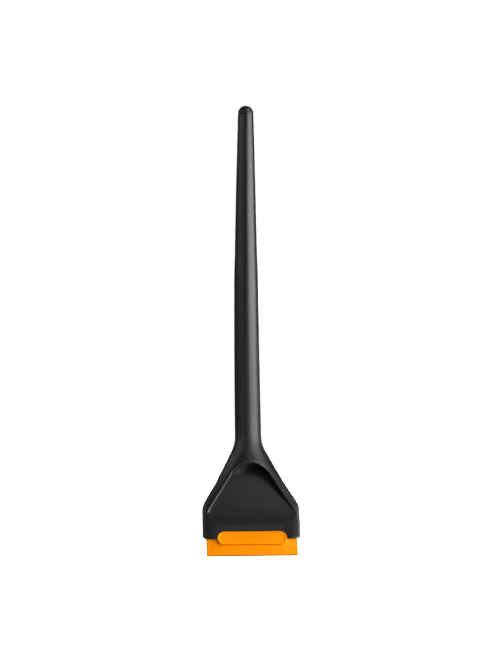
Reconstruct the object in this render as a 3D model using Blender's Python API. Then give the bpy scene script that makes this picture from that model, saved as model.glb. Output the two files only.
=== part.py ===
"""Floor scraper: a hollow handle that flares into a blade head, with a clamped blade and its guard.

Units are metres and +Z is up. The tool is upright, with its front towards -Y and its origin at the
middle of the guard's foot. The head leans: its own frame has Z up along the blade, -Y as its front
and +Y as its back, and every piece of the head is modelled in that frame.
"""

import math

import bmesh
import bpy
from mathutils import Matrix, Vector

# Lean of the head and of the lower handle from upright, and the lengths of the centre line's stretches
HEAD_TILT = math.radians(17.5)
HANDLE_TILT = math.radians(7.5)
HEAD_LENGTH = 0.112
NECK_LENGTH = 0.040
CURVE_LENGTH = 0.280
HANDLE_END = 0.5155

# Outer shape: (distance along the centre line, value, half length of the rounded corner there)
HALF_WIDTHS = (
    (0.0000, 0.0565, 0.000),
    (0.0586, 0.05605, 0.005),
    (0.0950, 0.0339, 0.018),
    (0.1180, 0.0225, 0.004),
    (0.1313, 0.01525, 0.0092),
    (0.2140, 0.01485, 0.030),
    (0.3263, 0.0140, 0.009),
    (0.3540, 0.0131, 0.009),
    (0.4450, 0.0111, 0.030),
    (HANDLE_END, 0.0092, 0.000),
)
HEAD_FRONT = (
    (0.000, 0.0056, 0.000),
    (0.048, 0.0056, 0.008),
    (0.118, 0.0142, 0.012),
    (0.150, 0.01512, 0.000),
)
HEAD_BACK = (
    (0.000, 0.0070, 0.000),
    (0.055, 0.0070, 0.008),
    (0.125, 0.0134, 0.012),
    (0.150, 0.01512, 0.000),
)
SQUARENESS = (
    (0.000, 7.0, 0.000),
    (0.042, 7.0, 0.004),
    (0.062, 3.4, 0.006),
    (0.090, 2.6, 0.010),
    (0.130, 2.0, 0.000),
)
ROUND_FROM = 0.150
SECTION_POINTS = 40
HEAD_RINGS = (
    0.010, 0.024, 0.034, 0.042, 0.047, 0.051, 0.0540, 0.0566, 0.0592, 0.0620, 0.0655, 0.072, 0.079,
    0.087, 0.095, 0.103, 0.110, 0.116, 0.121, 0.125, 0.129, 0.133, 0.1375, 0.143, 0.151,
)
HANDLE_RINGS = 20

# Hollow of the handle and the plug in its open end
HANDLE_WALL = 0.0030
CORE_START = 0.165
CORE_SIDES = 20
DOME_HEIGHT = 0.0098
PLUG_STEM_LENGTH = 0.022
PLUG_RIB_HEIGHT = 0.0020
GAP = 0.0003

# Head: level underside, front scoop under a rounded arch, and the notch for the thumb pad
HEAD_BOTTOM = 0.0193
SCOOP_APEX = 0.1057
SCOOP_RADIUS = 0.0257
SCOOP_LEG_ANGLE = math.radians(32.2)
SCOOP_FLOOR_START = 0.046
SCOOP_FLOOR_SLOPE = 0.150
SCOOP_REACH = 0.070
ARC_STEPS = 10

# Blade and the jaw that holds it
BLADE_WIDTH = 0.100
BLADE_HEIGHT = 0.025
BLADE_THICKNESS = 0.0008
BLADE_BEVEL = 0.0022
BLADE_EDGE = 0.0030
BLADE_TOP = BLADE_EDGE + BLADE_HEIGHT
BLADE_SURFACE = BLADE_THICKNESS / 2
JAW_FACE = BLADE_SURFACE + GAP
CLAMP_SEAT = 0.00095

# Clamp plate, its screws, washers and threaded inserts
PLATE_HALF_WIDTH = 0.0520
PLATE_TOP = 0.0520
PLATE_OUTER = 0.0062
PLATE_CORNER = 0.0040
PLATE_EDGE_BEVEL = 0.0003
PLATE_LIP_HALF_WIDTH = 0.0498
SCREW_SPACING = 0.060
SCREW_HEIGHT = 0.040
SCREW_HEAD_RADIUS = 0.00475
SCREW_HEAD_HEIGHT = 0.00275
SCREW_SHANK_RADIUS = 0.0022
SCREW_LENGTH = 0.008
SCREW_HOLE_RADIUS = 0.00275
SOCKET_WIDTH = 0.003
SOCKET_DEPTH = 0.0016
COUNTERBORE_RADIUS = 0.0055
COUNTERBORE_FLOOR = 0.0031
WASHER_RADIUS = 0.0050
WASHER_BORE_RADIUS = 0.00265
WASHER_THICKNESS = 0.0010
INSERT_RADIUS = 0.0035
INSERT_BORE_RADIUS = 0.0025
INSERT_LENGTH = 0.00485
INSERT_GROOVE_DEPTH = 0.0004
ROUND_SIDES = 32

# Guard over the cutting edge, with its thumb pad
GUARD_HALF_WIDTH = 0.0523
GUARD_HALF_DEPTH = 0.00245
GUARD_TOP = HEAD_BOTTOM - 0.0005
GUARD_BEVEL = 0.0007
GUARD_SLOT_HALF_WIDTH = 0.0506
GUARD_SLOT_HALF_DEPTH = 0.00075
GUARD_FLOOR = 0.0022
PAD_LOW = 0.0121
PAD_HIGH = 0.0272
PAD_HALF_WIDTH = 0.0400
PAD_FACE = 0.0054
PAD_BACK = 0.0032
PAD_RIM = 0.0015
PAD_DISH = 0.0043
PAD_RIB_WIDTH = 0.045
PAD_RIB_THICKNESS = 0.0008
PAD_RIB_HEIGHT = 0.0005
PAD_RIB_RAISE = 0.0017
NOTCH_GAP = 0.0006
NOTCH_FLOOR = 0.0029
DASH_HALF_WIDTH = 0.011
DASH_CENTRE = 0.0042
DASH_THICKNESS = 0.0014
DASH_HEIGHT = 0.0003

# Reach of the cutters: past every surface of the head, and below its underside in its own frame
SPACE = 0.08
UNDER_HEAD = 0.005

HEAD_FRAME = Matrix.Rotation(-HEAD_TILT, 4, "X")
# Turned pieces of the clamp have their axis along the head's Y: +Z of the turning points to the front
FACING_FRONT = Matrix.Rotation(math.radians(90), 4, "X")

BLACK_NYLON = ("black_nylon", (0.020, 0.021, 0.022), 0.42, 0.0)
BLACK_PLUG = ("black_plug", (0.012, 0.012, 0.013), 0.50, 0.0)
ORANGE_PLASTIC = ("orange_plastic", (1.0, 0.36, 0.003), 0.38, 0.0)
BLADE_STEEL = ("blade_steel", (0.62, 0.63, 0.65), 0.28, 1.0)
BLACK_CASTING = ("black_casting", (0.030, 0.031, 0.033), 0.55, 0.0)
ZINC_STEEL = ("zinc_steel", (0.55, 0.56, 0.57), 0.32, 1.0)
BRASS = ("brass", (0.75, 0.55, 0.25), 0.30, 1.0)


def clear_scene():
    for item in list(bpy.data.objects):
        bpy.data.objects.remove(item, do_unlink=True)


def material(finish):
    name, colour, roughness, metallic = finish
    found = bpy.data.materials.get(name)
    if found:
        return found
    made = bpy.data.materials.new(name)
    made.use_nodes = True
    shader = made.node_tree.nodes["Principled BSDF"]
    shader.inputs["Base Color"].default_value = (*colour, 1.0)
    shader.inputs["Roughness"].default_value = roughness
    shader.inputs["Metallic"].default_value = metallic
    return made


def new_object(name, mesh, finish=None, frame=None):
    """Link a mesh as an object, placed in the given frame."""
    made = bpy.data.objects.new(name, mesh)
    bpy.context.scene.collection.objects.link(made)
    if frame is not None:
        made.matrix_world = frame
    if finish is None:
        made.hide_render = True
        made.display_type = "WIRE"
    else:
        mesh.materials.append(material(finish))
    return made


def mesh_from(points, faces, name):
    mesh = bpy.data.meshes.new(name)
    mesh.from_pydata([tuple(point) for point in points], [], faces)
    shell = bmesh.new()
    shell.from_mesh(mesh)
    bmesh.ops.recalc_face_normals(shell, faces=shell.faces)
    shell.to_mesh(mesh)
    shell.free()
    return mesh


def loft(rings, name):
    """Close a stack of equal rings into one solid, capped at both ends."""
    count = len(rings[0])
    points = [point for ring in rings for point in ring]
    faces = []
    for row in range(len(rings) - 1):
        for step in range(count):
            after = (step + 1) % count
            faces.append((row * count + step, row * count + after,
                          (row + 1) * count + after, (row + 1) * count + step))
    faces.append(tuple(range(count)))
    faces.append(tuple((len(rings) - 1) * count + step for step in range(count)))
    return mesh_from(points, faces, name)


def prism(outline, low, high, name):
    """Extrude an (x, z) outline along y, from low to high."""
    return loft([[Vector((x, y, z)) for x, z in outline] for y in (low, high)], name)


def box(x_range, y_range, z_range, name):
    outline = [(x_range[0], z_range[0]), (x_range[1], z_range[0]),
               (x_range[1], z_range[1]), (x_range[0], z_range[1])]
    return prism(outline, y_range[0], y_range[1], name)


def turned(profile, name, sides=ROUND_SIDES):
    """Turn a closed (radius, z) profile about Z. Points on the axis become single points."""
    points = []
    rows = []
    for radius, height in profile:
        if radius == 0:
            points.append(Vector((0, 0, height)))
            rows.append([len(points) - 1] * sides)
        else:
            rows.append(list(range(len(points), len(points) + sides)))
            for side in range(sides):
                angle = 2 * math.pi * side / sides
                points.append(Vector((radius * math.cos(angle), radius * math.sin(angle), height)))
    faces = []
    for row, after in zip(rows, rows[1:] + rows[:1]):
        for side in range(sides):
            beside = (side + 1) % sides
            corners = [row[side], row[beside], after[beside], after[side]]
            face = tuple(dict.fromkeys(corners))
            if len(face) > 2:
                faces.append(face)
    return mesh_from(points, faces, name)


def cut(target, cutters, operation="DIFFERENCE"):
    for cutter in cutters:
        change = target.modifiers.new(cutter.name, "BOOLEAN")
        change.operation = operation
        change.solver = "EXACT"
        change.object = cutter


def bevel(target, width):
    """Break every sharp edge with a flat chamfer."""
    change = target.modifiers.new("edge_bevel", "BEVEL")
    change.width = width
    change.segments = 1
    change.limit_method = "ANGLE"
    change.angle_limit = math.radians(40)


def smooth(target, angle=35):
    target.data.shade_smooth()
    target.data.set_sharp_from_angle(angle=math.radians(angle))


def along(distance, stations):
    """Value at a distance on a line through stations, with each corner rounded by a parabola."""
    count = len(stations)
    for index in range(1, count - 1):
        place, value, half = stations[index]
        if half and abs(distance - place) < half:
            before = stations[index - 1]
            after = stations[index + 1]
            slope_in = (value - before[1]) / (place - before[0])
            slope_out = (after[1] - value) / (after[0] - place)
            offset = distance - place
            return value + slope_in * offset + (slope_out - slope_in) * (offset + half) ** 2 / (4 * half)
    for (start, low, _), (end, high, _) in zip(stations, stations[1:]):
        if distance <= end:
            return low + (high - low) * (distance - start) / (end - start)
    return stations[-1][1]


def centre_line(distance):
    """Position and lean of the centre line at a distance from the origin."""
    stretches = ((HEAD_LENGTH, HEAD_TILT), (NECK_LENGTH, HANDLE_TILT), (CURVE_LENGTH, 0.0),
                 (HANDLE_END, 0.0))
    y, z, lean = 0.0, 0.0, HEAD_TILT
    for length, end_lean in stretches:
        run = min(distance, length)
        turn = (end_lean - lean) * run / length
        if abs(turn) < 1e-9:
            y += run * math.sin(lean)
            z += run * math.cos(lean)
        else:
            radius = run / turn
            y += radius * (math.cos(lean) - math.cos(lean + turn))
            z += radius * (math.sin(lean + turn) - math.sin(lean))
        lean += turn
        distance -= run
        if distance <= 0:
            break
    return Vector((0, y, z)), lean


def section_place(distance):
    """Frame of the cross-section at a distance: Z along the centre line, -Y to the front."""
    position, lean = centre_line(distance)
    return Matrix.Translation(position) @ Matrix.Rotation(-lean, 4, "X")


def body_section(distance):
    half_width = along(distance, HALF_WIDTHS)
    front = along(distance, HEAD_FRONT) if distance < ROUND_FROM else half_width
    back = along(distance, HEAD_BACK) if distance < ROUND_FROM else half_width
    power = 2 / along(distance, SQUARENESS)
    place = section_place(distance)
    ring = []
    for step in range(SECTION_POINTS):
        angle = 2 * math.pi * step / SECTION_POINTS
        across = math.cos(angle)
        deep = math.sin(angle)
        depth = back if deep > 0 else front
        x = half_width * math.copysign(abs(across) ** power, across) if abs(across) > 1e-9 else 0.0
        y = depth * math.copysign(abs(deep) ** power, deep) if abs(deep) > 1e-9 else 0.0
        ring.append(place @ Vector((x, y, 0)))
    return ring


def round_section(distance, radius, sides):
    place = section_place(distance)
    angles = [2 * math.pi * side / sides for side in range(sides)]
    return [place @ Vector((radius * math.cos(angle), radius * math.sin(angle), 0)) for angle in angles]


def arc(centre, radius, start, end, steps):
    """Points of an arc in a plane, angles in degrees."""
    turns = [math.radians(start + (end - start) * step / steps) for step in range(steps + 1)]
    return [(centre[0] + radius * math.cos(turn), centre[1] + radius * math.sin(turn)) for turn in turns]


def stadium(half_width, low, high, steps=ARC_STEPS):
    radius = (high - low) / 2
    middle = (high + low) / 2
    right = arc((half_width - radius, middle), radius, -90, 90, steps)
    left = arc((radius - half_width, middle), radius, 90, 270, steps)
    return right + left


def below_level(level, name):
    """Block of space under a level plane, for trimming a piece of the head."""
    return new_object(name, box((-SPACE, SPACE), (-SPACE, SPACE), (-SPACE, level), name))


def above_level(level, name):
    return new_object(name, box((-SPACE, SPACE), (-SPACE, SPACE), (level, SPACE), name))


def scoop_cutter():
    """Space under the arch: a rounded apex with straight legs, over a floor that sinks towards it."""
    centre = SCOOP_APEX - SCOOP_RADIUS
    leg_turn = math.degrees(SCOOP_LEG_ANGLE)
    crown = arc((0, centre), SCOOP_RADIUS, leg_turn, 180 - leg_turn, 2 * ARC_STEPS)
    start_x, start_z = crown[0]
    foot_z = start_z - (SCOOP_REACH - start_x) / math.tan(SCOOP_LEG_ANGLE)
    outline = [(SCOOP_REACH, foot_z)] + crown + [(-SCOOP_REACH, foot_z)]
    floor_at = [HEAD_FRONT[0][1] - SCOOP_FLOOR_SLOPE * (z - SCOOP_FLOOR_START) for _, z in outline]
    outer = [Vector((x, -SPACE, z)) for x, z in outline]
    inner = [Vector((x, -floor, z)) for (x, z), floor in zip(outline, floor_at)]
    return new_object("scoop_cutter", loft([outer, inner], "scoop_cutter"), frame=HEAD_FRAME)


def jaw_cutters():
    """Recess of the clamp plate, seat of the blade, notch of the thumb pad and insert pockets."""
    plate_space = box((-PLATE_HALF_WIDTH - GAP, PLATE_HALF_WIDTH + GAP), (CLAMP_SEAT, SPACE),
                      (UNDER_HEAD, PLATE_TOP + GAP), "plate_recess")
    blade_space = box((-BLADE_WIDTH / 2 - GAP, BLADE_WIDTH / 2 + GAP), (-JAW_FACE, CLAMP_SEAT + GAP),
                      (UNDER_HEAD, BLADE_TOP + GAP), "blade_seat")
    notch_outline = stadium(PAD_HALF_WIDTH + NOTCH_GAP, PAD_LOW - NOTCH_GAP, PAD_HIGH + NOTCH_GAP)
    notch = prism(notch_outline, -SPACE, -NOTCH_FLOOR, "pad_notch")
    cutters = [new_object(mesh.name, mesh, frame=HEAD_FRAME) for mesh in (plate_space, blade_space, notch)]
    pocket = turned([(0, -GAP), (INSERT_RADIUS + GAP, -GAP), (INSERT_RADIUS + GAP, INSERT_LENGTH + GAP),
                     (0, INSERT_LENGTH + GAP)], "insert_pocket")
    for side, x in screw_sides():
        frame = HEAD_FRAME @ Matrix.Translation((x, CLAMP_SEAT, SCREW_HEIGHT)) @ FACING_FRONT
        cutters.append(new_object("insert_pocket_" + side, pocket, frame=frame))
    return cutters


def screw_sides():
    return (("left", -SCREW_SPACING / 2), ("right", SCREW_SPACING / 2))


def make_handle_body():
    ring_places = list(HEAD_RINGS)
    first = HEAD_RINGS[-1]
    for step in range(1, HANDLE_RINGS + 1):
        ring_places.append(first + (HANDLE_END - first) * step / HANDLE_RINGS)
    rings = [body_section(place) for place in ring_places]
    body = new_object("handle_body", loft(rings, "handle_body"), BLACK_NYLON)
    core_rings = []
    for step in range(HANDLE_RINGS + 1):
        place = CORE_START + (HANDLE_END - CORE_START) * step / HANDLE_RINGS
        core_rings.append(round_section(place, along(place, HALF_WIDTHS) - HANDLE_WALL, CORE_SIDES))
    core_rings.append(round_section(HANDLE_END + GAP, HALF_WIDTHS[-1][1] - HANDLE_WALL, CORE_SIDES))
    core = new_object("handle_core", loft(core_rings, "handle_core"))
    cut(body, [core, scoop_cutter(), below_level(HEAD_BOTTOM, "head_underside")] + jaw_cutters())
    smooth(body, 30)


def make_end_plug():
    """Dome on a ribbed stem, standing on the handle's open end."""
    dome_radius = HALF_WIDTHS[-1][1]
    stem_radius = dome_radius - HANDLE_WALL - 2 * GAP
    rib_radius = dome_radius - HANDLE_WALL - GAP
    profile = [(0, DOME_HEIGHT)]
    for step in range(1, ARC_STEPS + 1):
        angle = math.radians(90 - 90 * step / ARC_STEPS)
        profile.append((dome_radius * math.cos(angle), GAP + (DOME_HEIGHT - GAP) * math.sin(angle)))
    height = 0.0
    profile += [(dome_radius - GAP, height), (stem_radius, height)]
    for rib in range(1, 4):
        middle = -rib * PLUG_STEM_LENGTH / 4
        profile += [(stem_radius, middle + PLUG_RIB_HEIGHT), (rib_radius, middle + PLUG_RIB_HEIGHT / 2),
                    (rib_radius, middle - PLUG_RIB_HEIGHT / 2), (stem_radius, middle - PLUG_RIB_HEIGHT)]
    profile += [(stem_radius, -PLUG_STEM_LENGTH), (0, -PLUG_STEM_LENGTH)]
    place = section_place(HANDLE_END) @ Matrix.Translation((0, 0, GAP))
    plug = new_object("end_plug", turned(profile, "end_plug"), BLACK_PLUG, place)
    smooth(plug)


def make_blade():
    """Flat steel with one ground bevel, its edge at the front surface."""
    face = BLADE_SURFACE
    section = [(-face, BLADE_EDGE), (face, BLADE_EDGE + BLADE_BEVEL), (face, BLADE_TOP), (-face, BLADE_TOP)]
    half = BLADE_WIDTH / 2
    ends = [[Vector((x, y, z)) for y, z in section] for x in (-half, half)]
    new_object("blade", loft(ends, "blade"), BLADE_STEEL, HEAD_FRAME)


def make_clamp_plate():
    corner = PLATE_CORNER
    right = arc((PLATE_HALF_WIDTH - corner, PLATE_TOP - corner), corner, 0, 90, 4)
    left = arc((corner - PLATE_HALF_WIDTH, PLATE_TOP - corner), corner, 90, 180, 4)
    outline = [(-PLATE_HALF_WIDTH, UNDER_HEAD), (PLATE_HALF_WIDTH, UNDER_HEAD)] + right + left
    inner = CLAMP_SEAT + GAP
    plate = new_object("clamp_plate", prism(outline, inner, PLATE_OUTER, "clamp_plate"),
                       BLACK_CASTING, HEAD_FRAME)
    lip = box((-PLATE_LIP_HALF_WIDTH, PLATE_LIP_HALF_WIDTH), (JAW_FACE, inner + GAP),
              (UNDER_HEAD, BLADE_TOP - GAP), "plate_lip")
    cut(plate, [new_object("plate_lip", lip, frame=HEAD_FRAME)], "UNION")
    cutters = [below_level(HEAD_BOTTOM, "plate_underside")]
    through = turned([(0, -GAP), (SCREW_HOLE_RADIUS, -GAP), (SCREW_HOLE_RADIUS, PLATE_OUTER),
                      (0, PLATE_OUTER)], "screw_hole")
    counterbore = turned([(0, -PLATE_OUTER), (COUNTERBORE_RADIUS, -PLATE_OUTER), (COUNTERBORE_RADIUS, 0),
                          (0, 0)], "counterbore")
    for side, x in screw_sides():
        hole_place = HEAD_FRAME @ Matrix.Translation((x, PLATE_OUTER, SCREW_HEIGHT)) @ FACING_FRONT
        floor_place = HEAD_FRAME @ Matrix.Translation((x, COUNTERBORE_FLOOR, SCREW_HEIGHT)) @ FACING_FRONT
        cutters.append(new_object("screw_hole_" + side, through, frame=hole_place))
        cutters.append(new_object("counterbore_" + side, counterbore, frame=floor_place))
    cut(plate, cutters)
    bevel(plate, PLATE_EDGE_BEVEL)
    smooth(plate)


def make_screws():
    """Washer, button-head screw and threaded insert on each screw's axis."""
    washer_face = COUNTERBORE_FLOOR + GAP
    head_face = washer_face + WASHER_THICKNESS + GAP
    washer = turned([(WASHER_BORE_RADIUS, 0), (WASHER_RADIUS, 0), (WASHER_RADIUS, -WASHER_THICKNESS),
                     (WASHER_BORE_RADIUS, -WASHER_THICKNESS)], "screw_washer")
    head = [(0, SCREW_LENGTH), (SCREW_SHANK_RADIUS - GAP, SCREW_LENGTH),
            (SCREW_SHANK_RADIUS, SCREW_LENGTH - GAP), (SCREW_SHANK_RADIUS, 0), (SCREW_HEAD_RADIUS, 0)]
    flat_radius = SCREW_HEAD_RADIUS / 2
    for step in range(ARC_STEPS // 2 + 1):
        angle = math.radians(90 * step / (ARC_STEPS // 2))
        radius = flat_radius + (SCREW_HEAD_RADIUS - flat_radius) * math.cos(angle)
        head.append((radius, -2 * GAP - (SCREW_HEAD_HEIGHT - 2 * GAP) * math.sin(angle)))
    head.append((0, -SCREW_HEAD_HEIGHT))
    screw = turned(head, "clamp_screw")
    socket_radius = SOCKET_WIDTH / math.sqrt(3)
    socket = turned([(0, -GAP), (socket_radius, -GAP), (socket_radius, SOCKET_DEPTH), (0, SOCKET_DEPTH)],
                    "hex_socket", 6)
    groove = INSERT_RADIUS - INSERT_GROOVE_DEPTH
    third = INSERT_LENGTH / 3
    insert = turned([(INSERT_BORE_RADIUS, 0), (INSERT_RADIUS, 0), (INSERT_RADIUS, third), (groove, third),
                     (groove, 2 * third), (INSERT_RADIUS, 2 * third), (INSERT_RADIUS, INSERT_LENGTH),
                     (INSERT_BORE_RADIUS, INSERT_LENGTH)], "thread_insert")
    for side, x in screw_sides():
        axis = HEAD_FRAME @ Matrix.Translation((x, 0, SCREW_HEIGHT))
        washer_place = axis @ Matrix.Translation((0, washer_face, 0)) @ FACING_FRONT
        head_place = axis @ Matrix.Translation((0, head_face, 0)) @ FACING_FRONT
        insert_place = axis @ Matrix.Translation((0, CLAMP_SEAT, 0)) @ FACING_FRONT
        socket_place = head_place @ Matrix.Translation((0, 0, -SCREW_HEAD_HEIGHT))
        smooth(new_object("screw_washer_" + side, washer.copy(), ZINC_STEEL, washer_place))
        made = new_object("clamp_screw_" + side, screw.copy(), ZINC_STEEL, head_place)
        cut(made, [new_object("hex_socket_" + side, socket, frame=socket_place)])
        smooth(made)
        smooth(new_object("thread_insert_" + side, insert.copy(), BRASS, insert_place))


def make_blade_guard():
    """Sheath with a closed floor and ends, and a dished thumb pad that rises in front of the jaw."""
    sheath = box((-GUARD_HALF_WIDTH, GUARD_HALF_WIDTH), (-GUARD_HALF_DEPTH, GUARD_HALF_DEPTH),
                 (0, PAD_HIGH + GAP), "blade_guard")
    guard = new_object("blade_guard", sheath, ORANGE_PLASTIC, HEAD_FRAME)
    bevel(guard, GUARD_BEVEL)
    pad_outline = stadium(PAD_HALF_WIDTH, PAD_LOW, PAD_HIGH)
    dish_outline = stadium(PAD_HALF_WIDTH - PAD_RIM, PAD_LOW + PAD_RIM, PAD_HIGH - PAD_RIM)
    dash_outline = stadium(DASH_HALF_WIDTH, DASH_CENTRE - DASH_THICKNESS / 2,
                           DASH_CENTRE + DASH_THICKNESS / 2, 4)
    rib_middle = (PAD_LOW + PAD_HIGH) / 2 + PAD_RIB_RAISE
    slot_half = GUARD_SLOT_HALF_DEPTH
    pieces = {
        "pad_foot": prism(pad_outline, -PAD_BACK - GAP, -slot_half - GAP, "pad_foot"),
        "thumb_pad": prism(pad_outline, -PAD_FACE, -PAD_BACK, "thumb_pad"),
        "blade_slot": box((-GUARD_SLOT_HALF_WIDTH, GUARD_SLOT_HALF_WIDTH), (-slot_half, slot_half),
                          (GUARD_FLOOR, SPACE), "blade_slot"),
        "pad_dish": prism(dish_outline, -SPACE, -PAD_DISH, "pad_dish"),
        "pad_rib": box((-PAD_RIB_WIDTH / 2, PAD_RIB_WIDTH / 2),
                       (-PAD_DISH - PAD_RIB_HEIGHT, -PAD_DISH + GAP),
                       (rib_middle - PAD_RIB_THICKNESS / 2, rib_middle + PAD_RIB_THICKNESS / 2), "pad_rib"),
        "front_dash": prism(dash_outline, -GUARD_HALF_DEPTH - DASH_HEIGHT, -GUARD_HALF_DEPTH + GAP,
                            "front_dash"),
    }
    shapes = {name: new_object(name, mesh, frame=HEAD_FRAME) for name, mesh in pieces.items()}
    cut(guard, [shapes["pad_foot"]], "UNION")
    cut(guard, [above_level(GUARD_TOP, "guard_top")])
    cut(guard, [shapes["thumb_pad"]], "UNION")
    cut(guard, [shapes["blade_slot"], shapes["pad_dish"]])
    cut(guard, [shapes["pad_rib"], shapes["front_dash"]], "UNION")
    smooth(guard)


clear_scene()
make_handle_body()
make_end_plug()
make_blade()
make_clamp_plate()
make_screws()
make_blade_guard()
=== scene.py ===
"""Looks of the floor scraper: fine surfaces, materials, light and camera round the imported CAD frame.

Units are metres. The head leans: its own frame has Z up along the blade, -Y as its front and +Y as its
back, with its origin at the middle of the guard's foot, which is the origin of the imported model.
"""

import math

import bmesh
import bpy
import numpy as np
from mathutils import Matrix, Quaternion, Vector


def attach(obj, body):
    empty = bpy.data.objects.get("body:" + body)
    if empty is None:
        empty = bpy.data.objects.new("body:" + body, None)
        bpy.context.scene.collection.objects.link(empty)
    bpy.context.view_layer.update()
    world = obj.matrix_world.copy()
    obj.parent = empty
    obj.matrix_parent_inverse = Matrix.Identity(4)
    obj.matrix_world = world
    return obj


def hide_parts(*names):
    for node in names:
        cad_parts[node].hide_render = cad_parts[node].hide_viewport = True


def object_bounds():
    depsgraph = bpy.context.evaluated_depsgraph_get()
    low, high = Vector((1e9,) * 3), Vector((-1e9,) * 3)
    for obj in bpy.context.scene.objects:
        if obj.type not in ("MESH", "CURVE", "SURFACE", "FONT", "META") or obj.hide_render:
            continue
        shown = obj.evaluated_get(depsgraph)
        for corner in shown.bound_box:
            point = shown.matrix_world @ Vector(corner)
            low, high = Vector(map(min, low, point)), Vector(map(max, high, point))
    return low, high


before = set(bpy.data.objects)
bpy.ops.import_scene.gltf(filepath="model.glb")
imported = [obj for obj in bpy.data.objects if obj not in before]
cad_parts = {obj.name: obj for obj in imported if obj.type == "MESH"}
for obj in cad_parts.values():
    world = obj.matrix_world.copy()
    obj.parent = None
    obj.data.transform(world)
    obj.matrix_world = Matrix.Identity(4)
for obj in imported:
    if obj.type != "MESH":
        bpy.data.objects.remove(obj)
cad_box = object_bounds()

# ---------------------------------------------------------------- driving dimensions
# A name that the CAD has too has the CAD's value. The other names are for the finer surfaces made here.
HEAD_TILT = math.radians(17.5)
HANDLE_TILT = math.radians(7.5)
HEAD_LENGTH = 0.112
NECK_LENGTH = 0.040
CURVE_LENGTH = 0.280
HANDLE_END = 0.5155

# Outer shape: (distance along the centre line, value, half length of the rounded corner there)
HALF_WIDTHS = (
    (0.0000, 0.0565, 0.000),
    (0.0586, 0.05605, 0.005),
    (0.0950, 0.0339, 0.018),
    (0.1180, 0.0225, 0.004),
    (0.1313, 0.01525, 0.0092),
    (0.2140, 0.01485, 0.030),
    (0.3263, 0.0140, 0.009),
    (0.3540, 0.0131, 0.009),
    (0.4450, 0.0111, 0.030),
    (HANDLE_END, 0.0092, 0.000),
)
HEAD_FRONT = (
    (0.000, 0.0056, 0.000),
    (0.048, 0.0056, 0.008),
    (0.118, 0.0142, 0.012),
    (0.150, 0.01512, 0.000),
)
HEAD_BACK = (
    (0.000, 0.0070, 0.000),
    (0.055, 0.0070, 0.008),
    (0.125, 0.0134, 0.012),
    (0.150, 0.01512, 0.000),
)
SQUARENESS = (
    (0.000, 7.0, 0.000),
    (0.042, 7.0, 0.004),
    (0.062, 3.4, 0.006),
    (0.090, 2.6, 0.010),
    (0.130, 2.0, 0.000),
)
ROUND_FROM = 0.150

# Cross-sections of the fine surface, close together round the arch: (from, to, step)
RING_STRETCHES = (
    (0.016, 0.040, 0.00054),
    (0.040, 0.074, 0.00090),
    (0.074, 0.109, 0.00036),
    (0.109, 0.152, 0.00090),
    (0.152, HANDLE_END, 0.00250),
)
FRONT_POINTS = 190
FRONT_SAMPLES = 900
BACK_POINTS = 110
BACK_SAMPLES = 500

HANDLE_WALL = 0.0030
CORE_START = 0.165
GAP = 0.0003

HEAD_BOTTOM = 0.0193
SCOOP_APEX = 0.1057
SCOOP_RADIUS = 0.0257
SCOOP_LEG_ANGLE = math.radians(32.2)
SCOOP_FLOOR_START = 0.046
SCOOP_FLOOR_SLOPE = 0.150
SCOOP_FLOOR_BEND = 0.007
SCOOP_WALL_SLOPE = 20.0
SCOOP_RIM_ROUND = 0.0002
SCOOP_FOOT_ROUND = 0.0003
CORNER_ROUND = 0.0030
EDGE_ROUND = 0.0008
RAMP_LOW = 0.0272
RAMP_HIGH = 0.0350
RAMP_DEPTH = 0.0007
RAMP_HALF_WIDTH = 0.0480
RAMP_SIDE_RUN = 0.0160

BLADE_WIDTH = 0.100
BLADE_EDGE = 0.0030
BLADE_TOP = 0.0280
BLADE_SURFACE = 0.0004
BLADE_BEVEL = 0.0022
JAW_FACE = BLADE_SURFACE + GAP
CLAMP_SEAT = 0.00095
PLATE_HALF_WIDTH = 0.0520
PLATE_TOP = 0.0520
PLATE_OUTER = 0.0062
PLATE_CORNER = 0.0040
PLATE_EDGE_ROUND = 0.0006
PLATE_LIP_HALF_WIDTH = 0.0498
SCREW_SPACING = 0.060
SCREW_HEIGHT = 0.040
SCREW_HEAD_RADIUS = 0.00475
SCREW_HEAD_HEIGHT = 0.00275
SCREW_HEAD_SIDE = 0.0006
SCREW_SHANK_RADIUS = 0.0022
SCREW_LENGTH = 0.008
SCREW_HOLE_RADIUS = 0.00275
SOCKET_WIDTH = 0.003
SOCKET_DEPTH = 0.0016
COUNTERBORE_RADIUS = 0.0055
COUNTERBORE_FLOOR = 0.0031
WASHER_THICKNESS = 0.0010
INSERT_RADIUS = 0.0035
INSERT_LENGTH = 0.00485

GUARD_HALF_WIDTH = 0.0523
GUARD_HALF_DEPTH = 0.00245
GUARD_TOP = HEAD_BOTTOM - 0.0005
GUARD_ROUND = 0.0007
GUARD_SLOT_HALF_WIDTH = 0.0506
GUARD_SLOT_HALF_DEPTH = 0.00075
GUARD_FLOOR = 0.0022
PAD_LOW = 0.0121
PAD_HIGH = 0.0272
PAD_HALF_WIDTH = 0.0400
PAD_FACE = 0.0054
PAD_BACK = 0.0032
PAD_DISH = 0.0043
PAD_RIB_WIDTH = 0.045
PAD_RIB_RAISE = 0.0017
NOTCH_GAP = 0.0006
NOTCH_FLOOR = 0.0029
DASH_HALF_WIDTH = 0.011
DASH_CENTRE = 0.0042
DASH_THICKNESS = 0.0014
DASH_HEIGHT = 0.0003
SHEATH_BLANK_TOP = 0.030
SLOT_CUT_TOP = 0.040
PAD_FOOT_RUN = 0.0004
PAD_RIM_ROUND = 0.0005
PAD_RIM_FLAT = 0.0004
PAD_DISH_RUN = 0.0042
PAD_RIB_FOOT = 0.0013
PAD_RIB_HEIGHT = 0.0005

DOME_HEIGHT = 0.0098
PLUG_STEM_LENGTH = 0.022
PLUG_RIBS = 3

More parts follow.
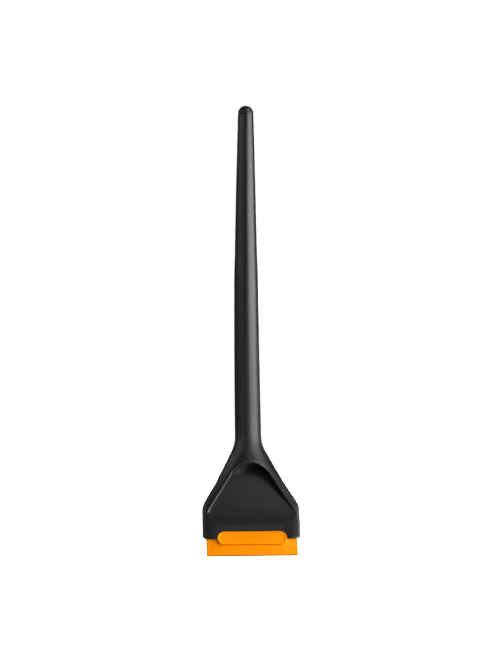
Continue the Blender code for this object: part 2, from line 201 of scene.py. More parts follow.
# Extents of the cutters, all well outside the part that they cut
CUT_X = (-0.08, 0.08)
CUT_Y = (-0.05, 0.05)
CUT_BELOW = -0.05
CUT_ABOVE = 0.08

# ---------------------------------------------------------------- looks
# The moulded grain is finer on the head and a little rougher on the neck (heights and roughness shares)
FINE_GRAIN_BELOW = 0.105
FULL_GRAIN_ABOVE = 0.135
FINE_GRAIN_SHARE = 0.55
ROUGH_NECK_BELOW = 0.170
EVEN_GRAIN_ABOVE = 0.330
ROUGH_NECK_SHARE = 1.35

# The camera looks horizontally at the middle of the tool, turned a little round it
CAMERA_TURN = math.radians(-7.0)
CAMERA_DISTANCE = 2.78
CAMERA_HEIGHT = 0.255
CAMERA_SIDE = 0.00495
CAMERA_ROLL = math.radians(-0.035)
CAMERA_LENS = 132.24

# The floor lies below the limits of the pieces that slide out downwards
FLOOR_DROP = 0.080
FLOOR_HALF_SIZE = 4.0
FLOOR_GLOW = 1.0
WORLD_LIGHT = 0.12
WORLD_LIGHT_BELOW = 0.04
WORLD_FADE_LOW = -0.5
WORLD_FADE_HIGH = 0.1
NOISE_LOW = 0.3
NOISE_HIGH = 0.7

# Soft lights: name, place, target, width, height, power in watts, shape
SOFT_LIGHTS = (
    ("right_softbox", (1.57, -1.22, 0.34), (0, 0.03, 0.34), 3.4, 1.24, 80, "ELLIPSE"),
    ("left_fill", (-1.5, -0.45, 1.0), (0, 0.03, 0.5), 2.4, 1.0, 7, "RECTANGLE"),
    ("top_softbox", (0.85, -0.75, 1.75), (0, 0.03, 0.15), 1.3, 1.0, 13, "RECTANGLE"),
    ("back_softbox", (0.5, 2.6, 0.7), (0, 0.03, 0.3), 1.3, 1.8, 110, "RECTANGLE"),
)

HEAD_FRAME = Matrix.Rotation(-HEAD_TILT, 4, "X")
FACING_FRONT = Matrix.Rotation(math.radians(90), 4, "X")


# ---------------------------------------------------------------- mesh helpers
def link(name, mesh, place=None):
    made = bpy.data.objects.new(name, mesh)
    bpy.context.scene.collection.objects.link(made)
    if place is not None:
        made.matrix_world = place
    return made


def mesh_from(points, faces, name):
    mesh = bpy.data.meshes.new(name)
    mesh.from_pydata([tuple(point) for point in points], [], faces)
    shell = bmesh.new()
    shell.from_mesh(mesh)
    bmesh.ops.recalc_face_normals(shell, faces=shell.faces)
    shell.to_mesh(mesh)
    shell.free()
    return mesh


def loft(rings, name):
    """Close a stack of equal rings into one solid, capped at both ends."""
    count = len(rings[0])
    points = [point for ring in rings for point in ring]
    faces = []
    for row in range(len(rings) - 1):
        for step in range(count):
            after = (step + 1) % count
            faces.append((row * count + step, row * count + after,
                          (row + 1) * count + after, (row + 1) * count + step))
    faces.append(tuple(range(count)))
    faces.append(tuple((len(rings) - 1) * count + step for step in range(count)))
    return mesh_from(points, faces, name)


def prism(outline, low, high, name):
    """Extrude an (x, z) outline along y, from low to high."""
    return loft([[(x, y, z) for x, z in outline] for y in (low, high)], name)


def box(x_range, y_range, z_range, name):
    outline = [(x_range[0], z_range[0]), (x_range[1], z_range[0]),
               (x_range[1], z_range[1]), (x_range[0], z_range[1])]
    return prism(outline, y_range[0], y_range[1], name)


def turned(profile, name, sides=64):
    """Turn a closed (radius, z) profile about Z. Points on the axis become single points."""
    points = []
    rows = []
    for radius, height in profile:
        if radius == 0:
            points.append((0, 0, height))
            rows.append([len(points) - 1] * sides)
        else:
            rows.append(list(range(len(points), len(points) + sides)))
            for side in range(sides):
                angle = 2 * math.pi * side / sides
                points.append((radius * math.cos(angle), radius * math.sin(angle), height))
    faces = []
    for row, after in zip(rows, rows[1:] + rows[:1]):
        for side in range(sides):
            beside = (side + 1) % sides
            face = tuple(dict.fromkeys([row[side], row[beside], after[beside], after[side]]))
            if len(face) > 2:
                faces.append(face)
    return mesh_from(points, faces, name)


def arc(centre, radius, start, end, steps):
    """Points of an arc in a plane, angles in degrees."""
    turns = [math.radians(start + (end - start) * step / steps) for step in range(steps + 1)]
    return [(centre[0] + radius * math.cos(turn), centre[1] + radius * math.sin(turn)) for turn in turns]


def stadium(half_width, low, high, steps=20):
    radius = (high - low) / 2
    middle = (high + low) / 2
    right = arc((half_width - radius, middle), radius, -90, 90, steps)
    left = arc((radius - half_width, middle), radius, 90, 270, steps)
    return right + left


def rounded_rectangle(half_width, low, high, radius, steps=8):
    corners = ((half_width - radius, low + radius, -90), (half_width - radius, high - radius, 0),
               (radius - half_width, high - radius, 90), (radius - half_width, low + radius, 180))
    return [point for x, z, turn in corners for point in arc((x, z), radius, turn, turn + 90, steps)]


def stack(outline_at, levels, name):
    """Solid from (offset, y) levels of one outline that grows by the offset."""
    return loft([[(x, y, z) for x, z in outline_at(offset)] for offset, y in levels], name)


def quarter(radius, steps=5):
    """(inset, drop) pairs of a quarter round, from the wall to the top face."""
    turns = [math.radians(90 * step / steps) for step in range(steps + 1)]
    return [(radius * (1 - math.cos(turn)), radius * (1 - math.sin(turn))) for turn in turns]


def carve(target, changes):
    """Apply (operation, cutter) Booleans in order, and remove the cutters."""
    for operation, cutter in changes:
        change = target.modifiers.new(cutter.name, "BOOLEAN")
        change.operation = operation
        change.solver = "EXACT"
        change.object = cutter
    bpy.context.view_layer.update()
    graph = bpy.context.evaluated_depsgraph_get()
    result = bpy.data.meshes.new_from_object(target.evaluated_get(graph))
    target.modifiers.clear()
    target.data = result
    for _, cutter in changes:
        bpy.data.objects.remove(cutter)


def smooth(target, angle=32):
    target.data.shade_smooth()
    target.data.set_sharp_from_angle(angle=math.radians(angle))


def finish_piece(piece, material, body, nodes):
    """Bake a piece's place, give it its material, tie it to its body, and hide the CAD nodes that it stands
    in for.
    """
    piece.data.transform(piece.matrix_world)
    piece.matrix_world = Matrix.Identity(4)
    piece.data.materials.clear()
    piece.data.materials.append(material)
    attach(piece, body)
    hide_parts(*nodes)


def underside_cutter(name):
    """Everything below the level underside of the head."""
    return link(name, box(CUT_X, CUT_Y, (CUT_BELOW, HEAD_BOTTOM), name))


def screw_sides():
    return (("left", -SCREW_SPACING / 2), ("right", SCREW_SPACING / 2))


# ---------------------------------------------------------------- shape of the moulded body
def along(distance, stations):
    """Value at a distance on a line through stations, with each corner rounded by a parabola."""
    for index in range(1, len(stations) - 1):
        place, value, half = stations[index]
        if half and abs(distance - place) < half:
            before = stations[index - 1]
            after = stations[index + 1]
            slope_in = (value - before[1]) / (place - before[0])
            slope_out = (after[1] - value) / (after[0] - place)
            offset = distance - place
            return value + slope_in * offset + (slope_out - slope_in) * (offset + half) ** 2 / (4 * half)
    for (start, low, _), (end, high, _) in zip(stations, stations[1:]):
        if distance <= end:
            return low + (high - low) * (distance - start) / (end - start)
    return stations[-1][1]


def centre_line(distance):
    """Position and lean of the centre line at a distance from the origin."""
    stretches = ((HEAD_LENGTH, HEAD_TILT), (NECK_LENGTH, HANDLE_TILT), (CURVE_LENGTH, 0.0),
                 (HANDLE_END, 0.0))
    y, z, lean = 0.0, 0.0, HEAD_TILT
    for length, end_lean in stretches:
        run = min(distance, length)
        turn = (end_lean - lean) * run / length
        if abs(turn) < 1e-9:
            y += run * math.sin(lean)
            z += run * math.cos(lean)
        else:
            radius = run / turn
            y += radius * (math.cos(lean) - math.cos(lean + turn))
            z += radius * (math.sin(lean + turn) - math.sin(lean))
        lean += turn
        distance -= run
        if distance <= 0:
            break
    return Vector((0, y, z)), lean


def section_place(distance):
    position, lean = centre_line(distance)
    return Matrix.Translation(position) @ Matrix.Rotation(-lean, 4, "X")


def soft_above(value, size):
    """Smooth version of max(value, 0), rounded over about the given size."""
    return (value + np.sqrt(value * value + size * size)) / 2


def scoop_depth_inside(x, distance):
    """How far each point lies inside the scoop's arch outline, negative outside it."""
    centre = SCOOP_APEX - SCOOP_RADIUS
    across = np.abs(x)
    up = distance - centre
    leg = SCOOP_RADIUS - (across * math.cos(SCOOP_LEG_ANGLE) + up * math.sin(SCOOP_LEG_ANGLE))
    crown = SCOOP_RADIUS - np.hypot(across, up)
    on_crown = np.arctan2(up, across) > SCOOP_LEG_ANGLE
    return np.where(on_crown, crown, leg)


def round_inset(height, radius):
    """Inset of a round edge of the given radius, at a height above the level underside."""
    left = np.clip(radius - height, 0, radius)
    return radius - np.sqrt(radius * radius - left * left)


def superellipse(x, depth, half_width, power):
    return depth * np.power(np.clip(1 - np.abs(x / half_width) ** power, 0, 1), 1 / power)


def front_profile(x, depth, half_width, power, distance):
    """Depth of the front surface over x, with the scoop and the ramp above the notch."""
    outer = superellipse(x, depth, half_width, power)
    if distance > HEAD_LENGTH:
        return outer
    sunk_run = soft_above(distance - SCOOP_FLOOR_START, SCOOP_FLOOR_BEND)
    floor = HEAD_FRONT[0][1] - SCOOP_FLOOR_SLOPE * sunk_run
    inside = scoop_depth_inside(x, distance)
    wall = outer - SCOOP_WALL_SLOPE * soft_above(inside, SCOOP_RIM_ROUND)
    sunk = floor + soft_above(wall - floor, SCOOP_FOOT_ROUND)
    shaped = np.minimum(outer, sunk)
    rise = np.clip((RAMP_HIGH - distance) / (RAMP_HIGH - RAMP_LOW), 0, 1)
    side = np.clip((RAMP_HALF_WIDTH - np.abs(x)) / RAMP_SIDE_RUN, 0, 1)
    side = side * side * (3 - 2 * side)
    return shaped - RAMP_DEPTH * rise * side


def half_ring(distance, depth, facing, samples, count):
    """One side of a cross-section, evenly spaced along its curve, from one flank to the other."""
    half_width = along(distance, HALF_WIDTHS)
    power = along(distance, SQUARENESS)
    x = half_width * np.sin(np.linspace(-math.pi / 2, math.pi / 2, samples))
    if facing < 0:
        deep = front_profile(x, depth, half_width, power, distance)
    else:
        deep = superellipse(x, depth, half_width, power)
    if distance < HEAD_LENGTH / 2:
        height = distance * math.cos(HEAD_TILT) - facing * deep * math.sin(HEAD_TILT) - HEAD_BOTTOM
        x = x * (1 - round_inset(height, CORNER_ROUND) / half_width)
        deep = deep * (1 - round_inset(height, EDGE_ROUND) / depth)
    travel = np.concatenate(([0], np.cumsum(np.hypot(np.diff(x), np.diff(deep)))))
    even = np.linspace(0, travel[-1], count + 1)
    return np.interp(even, travel, x), facing * np.interp(even, travel, deep)


def body_ring(distance):
    rounded = distance >= ROUND_FROM
    front = along(distance, HALF_WIDTHS if rounded else HEAD_FRONT)
    back = along(distance, HALF_WIDTHS if rounded else HEAD_BACK)
    front_x, front_y = half_ring(distance, front, -1, FRONT_SAMPLES, FRONT_POINTS)
    back_x, back_y = half_ring(distance, back, 1, BACK_SAMPLES, BACK_POINTS)
    x = np.concatenate((front_x, back_x[::-1][1:-1]))
    y = np.concatenate((front_y, back_y[::-1][1:-1]))
    place = section_place(distance)
    local = np.stack((x, y, np.zeros_like(x), np.ones_like(x)), axis=1)
    return (local @ np.array(place).T)[:, :3]


def ring_places():
    places = [RING_STRETCHES[0][0]]
    for start, end, step in RING_STRETCHES:
        count = round((end - start) / step)
        places += [start + (end - start) * index / count for index in range(1, count + 1)]
    return places


def surface_mesh(rings, name):
    """Closed mesh from a list of equal numpy rings."""
    count = len(rings[0])
    points = np.concatenate(rings)
    row = np.arange(len(rings) - 1)[:, None] * count
    step = np.arange(count)[None, :]
    after = (step + 1) % count
    quads = np.stack((row + step, row + after, row + count + after, row + count + step), axis=2)
    faces = quads.reshape(-1, 4).tolist()
    faces.append(list(range(count)))
    faces.append([(len(rings) - 1) * count + index for index in range(count)])
    return mesh_from(points.tolist(), faces, name)


def make_body(material):
    rings = [body_ring(place) for place in ring_places()]
    body = link("moulded_body", surface_mesh(rings, "moulded_body"))
    sides = 48
    turns = [2 * math.pi * side / sides for side in range(sides)]

    def core_ring(distance, radius):
        place = section_place(distance)
        return [place @ Vector((radius * math.cos(turn), radius * math.sin(turn), 0)) for turn in turns]

    steps = 40
    core = []
    for step in range(steps + 1):
        distance = CORE_START + (HANDLE_END - CORE_START) * step / steps
        core.append(core_ring(distance, along(distance, HALF_WIDTHS) - HANDLE_WALL))
    core.append(core_ring(HANDLE_END + 0.01, HALF_WIDTHS[-1][1] - HANDLE_WALL))
    cutters = [link("core", loft(core, "core")), underside_cutter("underside")]
    recess = rounded_rectangle(PLATE_HALF_WIDTH + GAP, -0.020, PLATE_TOP + GAP, PLATE_CORNER + GAP)
    cutters.append(link("recess", prism(recess, CLAMP_SEAT, 0.020, "recess"), HEAD_FRAME))
    seat = box((-BLADE_WIDTH / 2 - GAP, BLADE_WIDTH / 2 + GAP), (-JAW_FACE, CLAMP_SEAT + 0.001),
               (0.005, BLADE_TOP + GAP), "seat")
    cutters.append(link("seat", seat, HEAD_FRAME))

    def notch_outline(offset):
        grow = NOTCH_GAP + offset
        return stadium(PAD_HALF_WIDTH + grow, PAD_LOW - grow, PAD_HIGH + grow, 24)

    lip_radius = 0.0005
    lip_surface = HEAD_FRONT[0][1]
    levels = [(0, -NOTCH_FLOOR)]
    for inset, drop in quarter(lip_radius):
        levels.append((inset, -(lip_surface - drop)))
    levels.append((lip_radius + 0.002, -0.012))
    cutters.append(link("notch", stack(notch_outline, levels, "notch"), HEAD_FRAME))
    pocket_radius = INSERT_RADIUS + GAP
    pocket = turned([(0, -0.001), (pocket_radius, -0.001), (pocket_radius, INSERT_LENGTH + GAP),
                     (0, INSERT_LENGTH + GAP)], "pocket")
    for side, x in screw_sides():
        place = HEAD_FRAME @ Matrix.Translation((x, CLAMP_SEAT, SCREW_HEIGHT)) @ FACING_FRONT
        cutters.append(link("pocket_" + side, pocket, place))
    carve(body, [("DIFFERENCE", cutter) for cutter in cutters])
    smooth(body, 35)
    finish_piece(body, material, "root", ["handle_body"])


def make_plug(material):
    """Domed plug with a thin shadow groove above the handle's end, on a ribbed stem."""
    dome_radius = HALF_WIDTHS[-1][1]
    stem_radius = dome_radius - HANDLE_WALL - 2 * GAP
    rib_radius = stem_radius + GAP
    stem_length = PLUG_STEM_LENGTH
    foot = 0.0006
    profile = [(0, DOME_HEIGHT)]
    steps = 24
    for step in range(1, steps + 1):
        angle = math.radians(90 - 90 * step / steps)
        height = foot + (DOME_HEIGHT - foot) * math.sin(angle)
        profile.append((dome_radius * math.cos(angle), height))
    profile += [(dome_radius - 0.0002, 0.0002), (dome_radius - 0.0006, 0.0), (stem_radius, 0.0)]
    for rib in range(1, PLUG_RIBS + 1):
        middle = -rib * stem_length / (PLUG_RIBS + 1)
        profile += [(stem_radius, middle + 0.0016), (rib_radius, middle + 0.0008),
                    (rib_radius, middle - 0.0008), (stem_radius, middle - 0.0016)]
    profile += [(stem_radius, -stem_length + 0.0006), (stem_radius - 0.0006, -stem_length), (0, -stem_length)]
    place = section_place(HANDLE_END) @ Matrix.Translation((0, 0, GAP))
    plug = link("domed_plug", turned(profile, "domed_plug", 72), place)
    smooth(plug)
    finish_piece(plug, material, "root", ["end_plug"])


# ---------------------------------------------------------------- guard
def make_guard(material):
    half_depth = GUARD_HALF_DEPTH

    def sheath_outline(offset):
        return rounded_rectangle(GUARD_HALF_WIDTH + offset, -offset, SHEATH_BLANK_TOP,
                                 GUARD_ROUND + 0.0003 + offset)

    levels = [(-inset, -half_depth + drop) for inset, drop in reversed(quarter(GUARD_ROUND))]
    levels += [(-inset, half_depth - drop) for inset, drop in quarter(GUARD_ROUND)]
    guard = link("guard_sheath", stack(sheath_outline, levels, "guard_sheath"), HEAD_FRAME)

    def pad_outline(offset):
        return stadium(PAD_HALF_WIDTH + offset, PAD_LOW - offset, PAD_HIGH + offset, 28)

    run = PAD_FOOT_RUN
    foot = stack(pad_outline, [(run, -half_depth + run), (run, -half_depth),
                               (0.0001, -half_depth - 0.00015), (0, -half_depth - run),
                               (0, -PAD_BACK - GAP)], "pad_foot")
    pad_levels = [(-0.0002, -PAD_BACK), (0, -PAD_BACK - 0.0002)]
    pad_levels += [(-inset, -PAD_FACE + drop) for inset, drop in quarter(PAD_RIM_ROUND)]
    dish_depth = PAD_FACE - PAD_DISH
    steps = 12
    for step in range(1, steps + 1):
        part = step / steps
        fall = dish_depth * (1 - (1 - part) ** 2.2)
        inset = PAD_RIM_ROUND + PAD_RIM_FLAT + PAD_DISH_RUN * part ** 1.3
        pad_levels.append((-inset, -PAD_FACE + fall))
    pad = stack(pad_outline, pad_levels, "thumb_pad")
    rib_middle = (PAD_LOW + PAD_HIGH) / 2 + PAD_RIB_RAISE

    def bar(half_width, middle, thickness, base, top, name):
        """Raised bar with sloping sides, of the given thickness at its foot."""
        def outline(offset):
            half = thickness / 2 + offset
            return stadium(half_width + offset, middle - half, middle + half, 8)

        rise = abs(top - base)
        levels = [(0, base + 0.0004), (0, base - rise * 0.3), (-rise * 0.15, base - rise * 0.7),
                  (-rise * 0.5, top)]
        return stack(outline, levels, name)

    rib = bar(PAD_RIB_WIDTH / 2, rib_middle, PAD_RIB_FOOT, -PAD_DISH, -PAD_DISH - PAD_RIB_HEIGHT,
              "pad_rib")
    dash = bar(DASH_HALF_WIDTH, DASH_CENTRE, DASH_THICKNESS, -half_depth, -half_depth - DASH_HEIGHT, "dash")
    slot_half = GUARD_SLOT_HALF_DEPTH
    slot = box((-GUARD_SLOT_HALF_WIDTH, GUARD_SLOT_HALF_WIDTH), (-slot_half, slot_half),
               (GUARD_FLOOR, SLOT_CUT_TOP), "slot")
    above = box(CUT_X, CUT_Y, (GUARD_TOP, CUT_ABOVE), "above")
    carve(guard, [
        ("UNION", link("pad_foot", foot, HEAD_FRAME)),
        ("DIFFERENCE", link("above", above)),
        ("UNION", link("thumb_pad", pad, HEAD_FRAME)),
        ("DIFFERENCE", link("slot", slot, HEAD_FRAME)),
        ("UNION", link("pad_rib", rib, HEAD_FRAME)),
        ("UNION", link("dash", dash, HEAD_FRAME)),
    ])
    smooth(guard, 40)
    finish_piece(guard, material, "guard", ["blade_guard"])


# ---------------------------------------------------------------- blade and clamp
def make_blade(material):
    """Flat steel, its top corners slightly rounded, ground to an edge at the front surface."""
    face = BLADE_SURFACE
    half = BLADE_WIDTH / 2
    section = [(-face, BLADE_EDGE), (face, BLADE_EDGE + BLADE_BEVEL), (face, BLADE_TOP), (-face, BLADE_TOP)]
    corner = 0.0008
    stations = [(-half, corner)] + [(-half + corner * (1 - math.cos(math.radians(turn))),
                                     corner * (1 - math.sin(math.radians(turn)))) for turn in (30, 60, 90)]
    stations += [(-x, drop) for x, drop in reversed(stations)]
    ends = []
    for x, drop in stations:
        ends.append([(x, y, z - drop if z == BLADE_TOP else z) for y, z in section])
    blade = link("steel_blade", loft(ends, "steel_blade"), HEAD_FRAME)
    smooth(blade, 20)
    finish_piece(blade, material, "blade", ["blade"])


def make_clamp(plate_material, fastener_material):
    inner = CLAMP_SEAT + GAP

    def plate_outline(offset):
        return rounded_rectangle(PLATE_HALF_WIDTH + offset, -0.010, PLATE_TOP + offset, PLATE_CORNER + offset)

    levels = [(0, inner)] + [(-inset, PLATE_OUTER - drop) for inset, drop in quarter(PLATE_EDGE_ROUND)]
    plate = link("cast_plate", stack(plate_outline, levels, "cast_plate"), HEAD_FRAME)
    lip = box((-PLATE_LIP_HALF_WIDTH, PLATE_LIP_HALF_WIDTH), (JAW_FACE, inner + 0.0005),
              (0.005, BLADE_TOP - GAP), "lip")
    changes = [("UNION", link("lip", lip, HEAD_FRAME)),
               ("DIFFERENCE", underside_cutter("plate_underside"))]
    hole = turned([(0, -0.001), (SCREW_HOLE_RADIUS, -0.001), (SCREW_HOLE_RADIUS, 0.012), (0, 0.012)], "hole")
    mouth = PLATE_OUTER - COUNTERBORE_FLOOR
    counterbore = turned([(0, -0.010), (COUNTERBORE_RADIUS + 0.0044, -0.010),
                          (COUNTERBORE_RADIUS + 0.0004, -mouth), (COUNTERBORE_RADIUS, -mouth + 0.0004),
                          (COUNTERBORE_RADIUS, 0), (0, 0)], "counterbore")
    for side, x in screw_sides():
        axis = HEAD_FRAME @ Matrix.Translation((x, 0, SCREW_HEIGHT))
        changes.append(("DIFFERENCE", link("hole_" + side, hole,
                                           axis @ Matrix.Translation((0, 0.010, 0)) @ FACING_FRONT)))
        changes.append(("DIFFERENCE", link("counterbore_" + side, counterbore,
                                           axis @ Matrix.Translation((0, COUNTERBORE_FLOOR, 0))
                                           @ FACING_FRONT)))
    carve(plate, changes)
    smooth(plate, 30)
    finish_piece(plate, plate_material, "clamp", ["clamp_plate"])

    washer_face = COUNTERBORE_FLOOR + GAP
    head_face = washer_face + WASHER_THICKNESS + GAP
    head = [(0, SCREW_LENGTH), (SCREW_SHANK_RADIUS - GAP, SCREW_LENGTH),
            (SCREW_SHANK_RADIUS, SCREW_LENGTH - GAP), (SCREW_SHANK_RADIUS, 0),
            (SCREW_HEAD_RADIUS - 0.0001, 0), (SCREW_HEAD_RADIUS, -0.0001)]
    flat_radius = SCREW_HEAD_RADIUS / 2
    steps = 12
    for step in range(steps + 1):
        angle = math.radians(90 * step / steps)
        radius = flat_radius + (SCREW_HEAD_RADIUS - flat_radius) * math.cos(angle)
        rise = SCREW_HEAD_SIDE + (SCREW_HEAD_HEIGHT - SCREW_HEAD_SIDE) * math.sin(angle)
        head.append((radius, -rise))
    head.append((0, -SCREW_HEAD_HEIGHT))
    socket_radius = SOCKET_WIDTH / math.sqrt(3)
    socket = turned([(0, -0.010), (socket_radius, -0.010), (socket_radius, SOCKET_DEPTH - 0.0003),
                     (0, SOCKET_DEPTH + 0.0004)], "socket", 6)
    chamfer = turned([(0, -0.010), (socket_radius + 0.01, -0.010), (socket_radius + 0.0002, -0.0002),
                      (socket_radius - 0.0003, 0.0003), (0, 0.0003)], "chamfer", 48)
    for side, x in screw_sides():
        axis = HEAD_FRAME @ Matrix.Translation((x, 0, SCREW_HEIGHT))
        head_place = axis @ Matrix.Translation((0, head_face, 0)) @ FACING_FRONT
        socket_place = head_place @ Matrix.Translation((0, 0, -SCREW_HEAD_HEIGHT))
        screw = link("button_screw_" + side, turned(head, "button_screw_" + side, 64), head_place)
        carve(screw, [("DIFFERENCE", link("socket_" + side, socket, socket_place)),
                      ("DIFFERENCE", link("chamfer_" + side, chamfer, socket_place))])
        smooth(screw, 30)
        finish_piece(screw, fastener_material, "screw_" + side, ["clamp_screw_" + side])


# ---------------------------------------------------------------- materials
def node_material(name, roughness, metallic=0.0, specular=0.5):
    """Principled material, its uniform values on the shader. Returns material, tree, shader, coordinates."""
    made = bpy.data.materials.new(name)
    made.use_nodes = True
    tree = made.node_tree
    shader = tree.nodes["Principled BSDF"]
    shader.inputs["Roughness"].default_value = roughness
    shader.inputs["Metallic"].default_value = metallic
    shader.inputs["Specular IOR Level"].default_value = specular
    coordinates = tree.nodes.new("ShaderNodeTexCoord")
    return made, tree, shader, coordinates


def noise(tree, coordinates, scale, detail=4.0, roughness=0.55, stretch=(1, 1, 1)):
    mapping = tree.nodes.new("ShaderNodeMapping")
    mapping.inputs["Scale"].default_value = stretch
    tree.links.new(coordinates.outputs["Object"], mapping.inputs["Vector"])
    made = tree.nodes.new("ShaderNodeTexNoise")
    made.inputs["Scale"].default_value = scale
    made.inputs["Detail"].default_value = detail
    made.inputs["Roughness"].default_value = roughness
    tree.links.new(mapping.outputs["Vector"], made.inputs["Vector"])
    return made.outputs["Fac"]


def spread(tree, value, low, high):
    """Map a 0..1 value, whose middle part is used, to the range low..high."""
    made = tree.nodes.new("ShaderNodeMapRange")
    made.inputs["From Min"].default_value = NOISE_LOW
    made.inputs["From Max"].default_value = NOISE_HIGH
    made.inputs["To Min"].default_value = low
    made.inputs["To Max"].default_value = high
    tree.links.new(value, made.inputs["Value"])
    return made.outputs["Result"]


def share_by_height(tree, height, low, high, share_below):
    """Smooth change from a share below one height to 1 above another."""
    made = tree.nodes.new("ShaderNodeMapRange")
    made.interpolation_type = "SMOOTHSTEP"
    made.inputs["From Min"].default_value = low
    made.inputs["From Max"].default_value = high
    made.inputs["To Min"].default_value = share_below
    made.inputs["To Max"].default_value = 1.0
    tree.links.new(height, made.inputs["Value"])
    return made.outputs["Result"]


def blend_colours(tree, factor, first, second):
    made = tree.nodes.new("ShaderNodeMix")
    made.data_type = "RGBA"
    made.inputs["A"].default_value = (*first, 1)
    made.inputs["B"].default_value = (*second, 1)
    tree.links.new(factor, made.inputs["Factor"])
    return made.outputs["Result"]


def bump(tree, shader, layers):
    """Chain of bump layers: (height value, strength, distance in metres)."""
    normal = None
    for height, strength, distance in layers:
        made = tree.nodes.new("ShaderNodeBump")
        made.inputs["Strength"].default_value = strength
        made.inputs["Distance"].default_value = distance
        tree.links.new(height, made.inputs["Height"])
        if normal is not None:
            tree.links.new(normal, made.inputs["Normal"])
        normal = made.outputs["Normal"]
    tree.links.new(normal, shader.inputs["Normal"])


def nylon(name, dark, light, roughness, grain_strength, smooth_foot=False):
    """Black glass-filled nylon with a spark-eroded grain and faint flow marks.

    With smooth_foot, the head is finer grained and so glossier, and the lower handle a little rougher.
    """
    made, tree, shader, coordinates = node_material(name, roughness)
    flow = noise(tree, coordinates, 14, 3.0, stretch=(3, 3, 0.6))
    grain = noise(tree, coordinates, 1700, 2.0, 0.6)
    clump = noise(tree, coordinates, 520, 3.0)
    tree.links.new(blend_colours(tree, flow, dark, light), shader.inputs["Base Color"])
    uneven = spread(tree, clump, roughness - 0.04, roughness + 0.05)
    if smooth_foot:
        split = tree.nodes.new("ShaderNodeSeparateXYZ")
        tree.links.new(coordinates.outputs["Object"], split.inputs[0])
        height = split.outputs["Z"]
        shares = [share_by_height(tree, height, FINE_GRAIN_BELOW, FULL_GRAIN_ABOVE, FINE_GRAIN_SHARE),
                  share_by_height(tree, height, ROUGH_NECK_BELOW, EVEN_GRAIN_ABOVE, ROUGH_NECK_SHARE)]
        for share in shares:
            product = tree.nodes.new("ShaderNodeMath")
            product.operation = "MULTIPLY"
            tree.links.new(uneven, product.inputs[0])
            tree.links.new(share, product.inputs[1])
            uneven = product.outputs[0]
    tree.links.new(uneven, shader.inputs["Roughness"])
    bump(tree, shader, [(grain, grain_strength, 0.00003), (clump, grain_strength, 0.00005)])
    return made


def polypropylene(name):
    made, tree, shader, coordinates = node_material(name, 0.36)
    flow = noise(tree, coordinates, 40, 3.0, stretch=(1, 1, 3))
    grain = noise(tree, coordinates, 1800, 2.0)
    colour = blend_colours(tree, flow, (0.92, 0.235, 0.0), (0.92, 0.250, 0.0))
    tree.links.new(colour, shader.inputs["Base Color"])
    tree.links.new(spread(tree, grain, 0.32, 0.42), shader.inputs["Roughness"])
    shader.inputs["Specular Tint"].default_value = (1.0, 0.55, 0.05, 1)
    shader.inputs["Subsurface Weight"].default_value = 0.06
    shader.inputs["Subsurface Radius"].default_value = (0.0015, 0.0006, 0.0002)
    bump(tree, shader, [(grain, 0.3, 0.00003)])
    return made


def metal(name, first, second, roughness, stretch, scale, strength):
    """Metal with grinding or plating marks that run along one direction."""
    made, tree, shader, coordinates = node_material(name, roughness, 1.0)
    lines = noise(tree, coordinates, scale, 4.0, 0.6, stretch)
    patches = noise(tree, coordinates, 60, 3.0)
    tree.links.new(blend_colours(tree, patches, first, second), shader.inputs["Base Color"])
    tree.links.new(spread(tree, lines, roughness - 0.07, roughness + 0.10), shader.inputs["Roughness"])
    bump(tree, shader, [(lines, strength, 0.00005)])
    return made


def powder_coat(name):
    made, tree, shader, coordinates = node_material(name, 0.5)
    orange_peel = noise(tree, coordinates, 700, 2.0)
    patches = noise(tree, coordinates, 30, 3.0)
    colour = blend_colours(tree, patches, (0.024, 0.025, 0.027), (0.036, 0.037, 0.040))
    tree.links.new(colour, shader.inputs["Base Color"])
    tree.links.new(spread(tree, patches, 0.45, 0.56), shader.inputs["Roughness"])
    bump(tree, shader, [(orange_peel, 0.3, 0.0002)])
    return made


# ---------------------------------------------------------------- stage
def soft_light(name, place, target, width, height, power, shape):
    data = bpy.data.lights.new(name, "AREA")
    data.shape = shape
    data.size = width
    data.size_y = height
    data.energy = power
    made = bpy.data.objects.new(name, data)
    bpy.context.scene.collection.objects.link(made)
    made.location = place
    made.rotation_euler = (Vector(target) - Vector(place)).to_track_quat("-Z", "Y").to_euler()


def make_stage():
    low = cad_box[0]
    half = FLOOR_HALF_SIZE
    corners = [(-half, -half, 0), (half, -half, 0), (half, half, 0), (-half, half, 0)]
    floor_mesh = mesh_from(corners, [(0, 1, 2, 3)], "floor")
    floor = link("floor", floor_mesh, Matrix.Translation((0, 0, low[2] - FLOOR_DROP)))
    made = bpy.data.materials.new("pale_floor")
    made.use_nodes = True
    tree = made.node_tree
    tree.nodes.clear()
    output = tree.nodes.new("ShaderNodeOutputMaterial")
    glow = tree.nodes.new("ShaderNodeEmission")
    glow.inputs["Color"].default_value = (1, 1, 1, 1)
    glow.inputs["Strength"].default_value = FLOOR_GLOW
    matt = tree.nodes.new("ShaderNodeBsdfDiffuse")
    matt.inputs["Color"].default_value = (0.8, 0.8, 0.8, 1)
    both = tree.nodes.new("ShaderNodeAddShader")
    tree.links.new(glow.outputs[0], both.inputs[0])
    tree.links.new(matt.outputs[0], both.inputs[1])
    tree.links.new(both.outputs[0], output.inputs["Surface"])
    floor.data.materials.append(made)
    floor.visible_diffuse = False
    floor.visible_glossy = False
    floor.visible_shadow = False


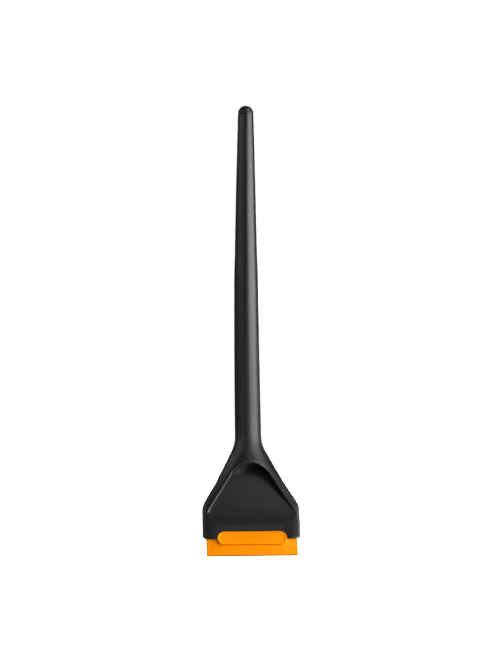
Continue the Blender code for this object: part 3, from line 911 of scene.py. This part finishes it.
def make_world():
    """White to the camera. As a light it is dim, and darker from below."""
    world = bpy.data.worlds.new("studio")
    bpy.context.scene.world = world
    world.use_nodes = True
    tree = world.node_tree
    tree.nodes.clear()
    output = tree.nodes.new("ShaderNodeOutputWorld")
    seen = tree.nodes.new("ShaderNodeBackground")
    seen.inputs["Color"].default_value = (1, 1, 1, 1)
    seen.inputs["Strength"].default_value = 1.0
    lit = tree.nodes.new("ShaderNodeBackground")
    direction = tree.nodes.new("ShaderNodeTexCoord")
    split = tree.nodes.new("ShaderNodeSeparateXYZ")
    fade = tree.nodes.new("ShaderNodeMapRange")
    fade.inputs["From Min"].default_value = WORLD_FADE_LOW
    fade.inputs["From Max"].default_value = WORLD_FADE_HIGH
    fade.inputs["To Min"].default_value = WORLD_LIGHT_BELOW
    fade.inputs["To Max"].default_value = WORLD_LIGHT
    tree.links.new(direction.outputs["Generated"], split.inputs[0])
    tree.links.new(split.outputs["Z"], fade.inputs["Value"])
    tree.links.new(fade.outputs["Result"], lit.inputs["Strength"])
    lit.inputs["Color"].default_value = (1, 1, 1, 1)
    ray = tree.nodes.new("ShaderNodeLightPath")
    mix = tree.nodes.new("ShaderNodeMixShader")
    tree.links.new(ray.outputs["Is Camera Ray"], mix.inputs["Fac"])
    tree.links.new(lit.outputs[0], mix.inputs[1])
    tree.links.new(seen.outputs[0], mix.inputs[2])
    tree.links.new(mix.outputs[0], output.inputs["Surface"])


def make_camera():
    back = Vector((math.sin(CAMERA_TURN), -math.cos(CAMERA_TURN), 0))
    right = Vector((math.cos(CAMERA_TURN), math.sin(CAMERA_TURN), 0))
    target = Vector((0, 0, CAMERA_HEIGHT)) - right * CAMERA_SIDE
    data = bpy.data.cameras.new("camera")
    data.lens = CAMERA_LENS
    data.sensor_fit = "AUTO"
    data.sensor_width = 36
    data.clip_start = 0.05
    data.clip_end = 50
    camera = bpy.data.objects.new("camera", data)
    bpy.context.scene.collection.objects.link(camera)
    camera.location = target + back * CAMERA_DISTANCE
    level = (-back).to_track_quat("-Z", "Y")
    camera.rotation_euler = (Quaternion(back, CAMERA_ROLL) @ level).to_euler()
    bpy.context.scene.camera = camera


bpy.context.scene.view_settings.view_transform = "Standard"

body_nylon = nylon("body_nylon", (0.0058, 0.0065, 0.0070), (0.0076, 0.0083, 0.0089), 0.32, 0.62, True)
plug_nylon = nylon("plug_nylon_fine", (0.006, 0.006, 0.007), (0.008, 0.008, 0.009), 0.36, 0.30)
guard_plastic = polypropylene("orange_polypropylene")
blade_steel = metal("ground_steel", (0.60, 0.61, 0.63), (0.70, 0.71, 0.72), 0.26, (1, 1, 30), 40, 0.2)
zinc = metal("zinc_plate", (0.52, 0.53, 0.55), (0.64, 0.64, 0.63), 0.30, (1, 1, 1), 900, 0.15)
brass = metal("turned_brass", (0.72, 0.50, 0.20), (0.80, 0.60, 0.28), 0.30, (1, 1, 12), 300, 0.2)
plate_coat = powder_coat("black_powder_coat")

make_body(body_nylon)
make_plug(plug_nylon)
make_guard(guard_plastic)
make_blade(blade_steel)
make_clamp(plate_coat, zinc)
for side, _ in screw_sides():
    for node, finish in (("screw_washer_" + side, zinc), ("thread_insert_" + side, brass)):
        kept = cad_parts[node]
        kept.data.materials.clear()
        kept.data.materials.append(finish)

make_stage()
make_world()
make_camera()
for light in SOFT_LIGHTS:
    soft_light(*light)
